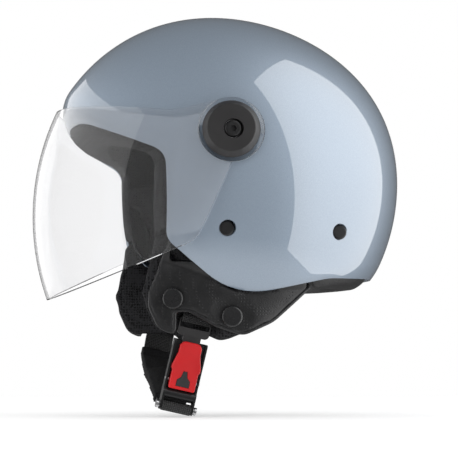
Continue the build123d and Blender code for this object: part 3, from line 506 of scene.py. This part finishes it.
# ---------------------------------------------------------------- materials
class Paint:
    """A procedural material with one Principled shader and helpers that add its detail."""

    def __init__(self, name, colour, roughness, **sockets):
        self.material = bpy.data.materials.new(name)
        self.material.use_nodes = True
        self.tree = self.material.node_tree
        self.shader = self.tree.nodes["Principled BSDF"]
        self.shader.inputs["Base Color"].default_value = (*colour, 1)
        self.shader.inputs["Roughness"].default_value = roughness
        for socket, value in sockets.items():
            self.shader.inputs[socket.replace("_", " ")].default_value = value
        self.place = self.tree.nodes.new("ShaderNodeTexCoord").outputs["Object"]

    def node(self, kind, **settings):
        node = self.tree.nodes.new("ShaderNode" + kind)
        for key, value in settings.items():
            if key in node.inputs:
                node.inputs[key].default_value = value
            else:
                setattr(node, key, value)
        return node

    def link(self, output, target):
        self.tree.links.new(output, target)

    def noise(self, scale, detail=3.0):
        node = self.node("TexNoise", Scale=scale, Detail=detail)
        self.link(self.place, node.inputs["Vector"])
        return node.outputs["Fac"]

    def cells(self, scale):
        node = self.node("TexVoronoi", Scale=scale)
        self.link(self.place, node.inputs["Vector"])
        return node.outputs["Distance"]

    def ramp(self, value, low, high, first, second):
        node = self.node("ValToRGB")
        for stop, position, colour in zip(node.color_ramp.elements, (low, high), (first, second)):
            stop.position = position
            stop.color = (*colour, 1) if isinstance(colour, tuple) else (colour,) * 3 + (1,)
        self.link(value, node.inputs["Fac"])
        return node.outputs["Color"]

    def colour(self, value, low, high, first, second):
        self.link(self.ramp(value, low, high, first, second), self.shader.inputs["Base Color"])

    def rough(self, value, low, high):
        node = self.node("MapRange")
        node.inputs["To Min"].default_value, node.inputs["To Max"].default_value = low, high
        self.link(value, node.inputs["Value"])
        self.link(node.outputs["Result"], self.shader.inputs["Roughness"])

    def bump(self, value, distance, strength=1.0):
        node = self.node("Bump", Strength=strength, Distance=distance * MM)
        self.link(value, node.inputs["Height"])
        if self.shader.inputs["Normal"].links:
            self.link(self.shader.inputs["Normal"].links[0].from_socket, node.inputs["Normal"])
        self.link(node.outputs["Normal"], self.shader.inputs["Normal"])


def lacquer():
    """Blue-grey metallic base under clear coat, with fine flake."""
    paint = Paint("shell_lacquer", (0.28, 0.35, 0.43), 0.45, Metallic=0.3, Coat_Weight=1.0,
                  Coat_Roughness=0.02, Coat_IOR=1.75)
    paint.colour(paint.noise(2600.0, 1.0), 0.35, 0.7, (0.262, 0.325, 0.405), (0.315, 0.385, 0.47))
    paint.rough(paint.noise(14.0), 0.42, 0.48)
    return paint.material


def leatherette():
    """Fine black grain with rows of small perforations."""
    paint = Paint("black_leatherette", (0.014, 0.014, 0.015), 0.42)
    grain = paint.cells(900.0)
    paint.colour(paint.noise(60.0), 0.3, 0.75, (0.010, 0.010, 0.011), (0.019, 0.019, 0.020))
    paint.rough(paint.noise(240.0), 0.36, 0.5)
    paint.bump(grain, 0.12, 0.6)
    holes = paint.node("TexVoronoi", Scale=420.0, Randomness=0.1)
    paint.link(paint.place, holes.inputs["Vector"])
    paint.bump(paint.ramp(holes.outputs["Distance"], 0.12, 0.26, 0.0, 1.0), 0.25, 0.8)
    return paint.material


def spacer_mesh():
    """Open knitted mesh: a grid of small eyes in a raised net, with painted shade making the eyes near
    black.
    """
    paint = Paint("spacer_mesh", (0.012, 0.012, 0.013), 0.8, Specular_IOR_Level=0.2)
    eyes = paint.node("TexVoronoi", Scale=480.0, Randomness=0.35)
    paint.link(paint.place, eyes.inputs["Vector"])
    net = paint.ramp(eyes.outputs["Distance"], 0.15, 0.5, 0.0, 1.0)
    # painted shade: the eyes, which sit low in the bump, are darker than the raised net
    paint.colour(eyes.outputs["Distance"], 0.2, 0.55, (0.003, 0.003, 0.003), (0.024, 0.024, 0.026))
    paint.bump(net, 0.6, 0.9)
    paint.bump(paint.noise(1500.0), 0.1, 0.6)
    return paint.material


def brushed_knit():
    """Soft dark knit, as on the chin sleeve and the neck roll's inner face."""
    paint = Paint("brushed_knit", (0.010, 0.010, 0.011), 0.85, Specular_IOR_Level=0.2)
    paint.colour(paint.noise(900.0), 0.3, 0.7, (0.006, 0.006, 0.007), (0.018, 0.018, 0.019))
    paint.bump(paint.noise(1300.0), 0.3, 0.8)
    return paint.material


def foam_beads():
    paint = Paint("foam_beads", (0.03, 0.03, 0.032), 0.75)
    beads = paint.cells(330.0)
    paint.colour(beads, 0.2, 0.8, (0.035, 0.035, 0.037), (0.014, 0.014, 0.015))
    paint.bump(beads, 0.4, 0.6)
    return paint.material


def webbing():
    """Woven ribs across the strap, with a fine warp along it; the raised crossings are painted lighter,
    partly the weave's own pattern and partly a painted highlight.
    """
    paint = Paint("black_webbing", (0.012, 0.012, 0.013), 0.5)
    turn = paint.node("Mapping")
    turn.inputs["Rotation"].default_value = (radians(12.5), 0, 0)
    paint.link(paint.place, turn.inputs["Vector"])
    bands = []
    for direction, scale in (("Z", 260.0), ("Y", 210.0)):
        wave = paint.node("TexWave", Scale=scale, Distortion=0.6)
        wave.bands_direction = direction
        wave.inputs["Detail"].default_value = 1.0
        paint.link(turn.outputs["Vector"], wave.inputs["Vector"])
        bands.append(wave.outputs["Fac"])
    weave_and_highlight = paint.node("Math", operation="MULTIPLY")
    paint.link(bands[0], weave_and_highlight.inputs[0])
    paint.link(bands[1], weave_and_highlight.inputs[1])
    # colour: lighter on the raised crossings, partly the weave's pattern and partly a painted highlight on
    # the ribs
    paint.colour(weave_and_highlight.outputs[0], 0.0, 0.9, (0.004, 0.004, 0.004), (0.040, 0.040, 0.042))
    paint.bump(weave_and_highlight.outputs[0], 0.5, 1.0)
    return paint.material


def moulded(name, colour, roughness, grain=900.0, depth=0.05, **sockets):
    """A satin moulding with fine spark-eroded texture and slight handling marks."""
    paint = Paint(name, colour, roughness, **sockets)
    darker, paler = tuple(0.85 * c for c in colour), tuple(1.18 * c for c in colour)
    paint.colour(paint.noise(35.0), 0.3, 0.75, darker, paler)
    paint.rough(paint.noise(120.0), roughness - 0.06, roughness + 0.08)
    paint.bump(paint.noise(grain), depth, 0.7)
    return paint.material


def bright_steel():
    paint = Paint("bright_steel", (0.55, 0.55, 0.56), 0.28, Metallic=1.0)
    paint.colour(paint.noise(180.0), 0.3, 0.7, (0.48, 0.48, 0.49), (0.62, 0.62, 0.63))
    paint.rough(paint.noise(420.0), 0.2, 0.38)
    return paint.material


def clear_polycarbonate():
    """Clear glass that lets lamps through, with faint wipe marks in its gloss."""
    paint = Paint("clear_polycarbonate", (0.91, 0.91, 0.915), 0.0, Transmission_Weight=1.0, IOR=1.45)
    paint.rough(paint.noise(22.0), 0.0, 0.008)
    light = paint.node("LightPath")
    clear = paint.node("BsdfTransparent")
    clear.inputs["Color"].default_value = (0.66, 0.67, 0.69, 1)
    mix = paint.node("MixShader")
    output = paint.tree.nodes["Material Output"]
    paint.link(light.outputs["Is Shadow Ray"], mix.inputs["Fac"])
    paint.link(paint.shader.outputs[0], mix.inputs[1])
    paint.link(clear.outputs[0], mix.inputs[2])
    paint.link(mix.outputs[0], output.inputs["Surface"])
    return paint.material


def dress(obj, material):
    obj.data.materials.clear()
    obj.data.materials.append(material)


# ---------------------------------------------------------------- build the looks
def finish_piece(obj, material, slot, body, *nodes):
    dress(obj, material)
    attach(obj, body)
    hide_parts(*nodes)


LACQUER, LEATHER, MESH, KNIT = lacquer(), leatherette(), spacer_mesh(), brushed_knit()
FOAM, WEB, STEEL, CLEAR = foam_beads(), webbing(), bright_steel(), clear_polycarbonate()
BLACK = moulded("black_moulding", (0.026, 0.025, 0.026), 0.42)
BLACK_GLOSS = moulded("black_smooth_moulding", (0.017, 0.017, 0.018), 0.26, 300.0, 0.02)
BLACK_METAL = moulded("black_coated_steel", (0.016, 0.016, 0.017), 0.3, 1400.0, 0.03, Metallic=0.3)
RED = moulded("red_moulding", (0.56, 0.0, 0.003), 0.35, 500.0, 0.02)


def build_shell():
    shell = shell_mesh()
    cut_rivet_wells(shell)
    finish_piece(shell, LACQUER, "shell_paint", "helmet", "outer_shell")


def build_visor():
    blade = visor_mesh()
    finish_piece(blade, CLEAR, "clear_visor", "visor_frame", "visor")
    for side in SIDES.values():
        ear = visor_ear(side)
        dress(ear, CLEAR)
        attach(ear, "visor_frame")


def build_pads():
    for node, material, slot, voxel, sink, cap in (
            ("brow_liner", MESH, "mesh_fabric", 2.5, 0.8, 2.0),
            ("crown_liner", MESH, "mesh_fabric", 4.0, 1.0, 3.0),
            ("nape_liner", MESH, "mesh_fabric", 4.0, 1.0, 3.0),
            ("neck_roll", LEATHER, "leatherette", 4.0, 1.5, 4.0)):
        finish_piece(cushion(node, f"soft_{node}", voxel, sink, cap), material, slot, "helmet", node)
    for name, side in SIDES.items():
        pad = cushion(f"cheek_pad_{name}", f"soft_cheek_pad_{name}", 4.0, 1.5, 3.0)
        finish_piece(pad, MESH, "mesh_fabric", "helmet", f"cheek_pad_{name}")
        buttons = [(side * flap_x(*snap), *snap) for snap in SNAPS]
        flap = cushion(f"ear_flap_{name}", f"soft_ear_flap_{name}", 1.4, 0.0, 2.2, 2, buttons)
        finish_piece(flap, LEATHER, "leatherette", "helmet", f"ear_flap_{name}")
        edge = resample(rounded(FLAP_EDGE, FLAP_EDGE_RADII), PIPING_STEP)
        middle = [(side * (flap_x(y, z) - FLAP_WALL / 2), y, z) for y, z in edge]
        piping = tube(f"flap_piping_{name}", middle, PIPING_R)
        dress(piping, LEATHER)
        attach(piping, "helmet")
    sleeve = cushion("chin_pad", "soft_chin_pad", 2.0, 1.0, 3.0)
    finish_piece(sleeve, KNIT, "pad_fabric", "strap_loop", "chin_pad")


def build_straps():
    left = strap("strap_webbing_left", "webbing_left")
    dress(left, WEB)
    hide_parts("strap_webbing_left")
    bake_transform(left)
    right = strap("strap_webbing_right", "webbing_right")
    finish_piece(right, WEB, "webbing", "strap_loop", "strap_webbing_right")


def dress_hardware():
    looks = {"eps_liner": FOAM, "front_strap_rivets": BLACK_METAL, "rear_liner_rivets": BLACK_METAL,
             "rear_liner_clips": BLACK, "buckle_cross_bar": STEEL, "buckle_frame": BLACK_METAL,
             "buckle_lever": RED, "buckle_lever_inlay": BLACK, "buckle_lever_pin": STEEL,
             "buckle_lever_spring": STEEL, "ratchet_tongue": BLACK}
    for name in SIDES:
        looks.update({f"flap_snap_caps_{name}": BLACK_GLOSS, f"flap_snap_studs_{name}": STEEL,
                      f"pivot_base_{name}": BLACK, f"pivot_washer_{name}": STEEL, f"pivot_cap_{name}": BLACK,
                      f"pivot_screw_{name}": BLACK_METAL, f"pivot_nut_{name}": STEEL,
                      f"strap_hanger_{name}": STEEL})
    for node, material in looks.items():
        dress(NODES[node], material)


def panel(name, target, direction, distance, width, height, radiance, mirrored):
    """A lamp panel that is either only mirrored in glossy surfaces or only lights the matt ones."""
    data = bpy.data.lights.new(name, "AREA")
    data.shape, data.size, data.size_y = "RECTANGLE", width, height
    data.energy = radiance * pi * width * height
    light = bpy.data.objects.new(name, data)
    way = Vector(direction).normalized()
    light.location = Vector(target) + way * distance
    light.rotation_euler = way.to_track_quat("Z", "Y").to_euler()
    light.visible_camera = light.visible_transmission = False
    light.visible_glossy, light.visible_diffuse = mirrored, not mirrored
    bpy.context.scene.collection.objects.link(light)


def build_world(scene):
    """White where it is seen, a soft dome for matt surfaces, and dim with a pale floor in reflections."""
    world = bpy.data.worlds.new("studio")
    world.use_nodes = True
    tree = world.node_tree
    new, link = tree.nodes.new, tree.links.new
    back, path = tree.nodes["Background"], new("ShaderNodeLightPath")
    back.inputs["Color"].default_value = (1, 1, 1, 1)
    place, split, low = new("ShaderNodeTexCoord"), new("ShaderNodeSeparateXYZ"), new("ShaderNodeMapRange")
    link(place.outputs["Generated"], split.inputs[0])
    link(split.outputs["Z"], low.inputs["Value"])
    for socket, value in (("From Min", -0.82), ("From Max", -0.62), ("To Min", MIRROR_LOW),
                          ("To Max", MIRROR_DIM)):
        low.inputs[socket].default_value = value

    def math(operation, first, second):
        node = new("ShaderNodeMath")
        node.operation = operation
        for socket, value in zip(node.inputs, (first, second)):
            if isinstance(value, float):
                socket.default_value = value
            else:
                link(value, socket)
        return node.outputs[0]

    matt_path = math("GREATER_THAN", path.outputs["Diffuse Depth"], 0.5)
    straight = math("SUBTRACT", 1.0, matt_path)
    through = path.outputs["Is Transmission Ray"]
    seen = math("MAXIMUM", path.outputs["Is Camera Ray"], math("MULTIPLY", through, straight))
    shaded = math("MULTIPLY", math("MULTIPLY", through, matt_path), DOME_THROUGH_VISOR)
    matt = math("MULTIPLY", path.outputs["Is Diffuse Ray"], DOME)
    mirrored = math("MULTIPLY", path.outputs["Is Glossy Ray"], low.outputs["Result"])
    total = math("ADD", math("ADD", seen, shaded), math("ADD", matt, mirrored))
    link(total, back.inputs["Strength"])
    scene.world = world


def build_stage():
    scene = bpy.context.scene
    floor_z = CAD_BOX[0][2] - 0.001
    bm = bmesh.new()
    bmesh.ops.create_circle(bm, cap_ends=True, segments=96, radius=FLOOR_RADIUS,
                            matrix=Matrix.Translation((0, 0.02, floor_z)))
    mesh = bpy.data.meshes.new("floor")
    bm.to_mesh(mesh)
    bm.free()
    floor = bpy.data.objects.new("floor", mesh)
    scene.collection.objects.link(floor)
    paint = Paint("pale_floor", (0.8, 0.8, 0.8), 0.9)
    paint.colour(paint.noise(30.0), 0.3, 0.7, (0.79, 0.79, 0.79), (0.81, 0.81, 0.81))
    paint.shader.inputs["Emission Color"].default_value = (1, 1, 1, 1)
    paint.shader.inputs["Emission Strength"].default_value = FLOOR_GLOW
    dress(floor, paint.material)
    floor.visible_glossy = False
    build_world(scene)

    panel("rear_panel", (0, 0, 0.75), (0.44, 0.90, 0.0), 1.0, 1.87, 3.9, 2.3, True)
    panel("front_panel", (0, 0, 0.1), (-0.34, -0.94, 0.0), 1.4, 3.2, 2.2, 1.4, True)
    panel("side_fill", (0, 0, 0), (0.9, -0.35, 0.35), 2.0, 1.6, 1.6, 0.9, False)

    camera = bpy.data.cameras.new("camera")
    camera.lens, camera.sensor_width = CAMERA_LENS, CAMERA_SENSOR
    camera.shift_x, camera.shift_y = CAMERA_SHIFT
    camera.clip_start = 0.05
    eye = bpy.data.objects.new("camera", camera)
    azimuth, elevation, distance = radians(CAMERA_AZIMUTH), radians(CAMERA_ELEVATION), CAMERA_DISTANCE
    eye.location = (distance * sin(azimuth) * cos(elevation), -distance * cos(azimuth) * cos(elevation),
                    distance * sin(elevation))
    eye.rotation_euler = Vector(eye.location).to_track_quat("Z", "Y").to_euler()
    scene.collection.objects.link(eye)
    scene.camera = eye
    scene.view_settings.view_transform = "Standard"


build_shell()
build_visor()
build_pads()
build_straps()
dress_hardware()
build_stage()
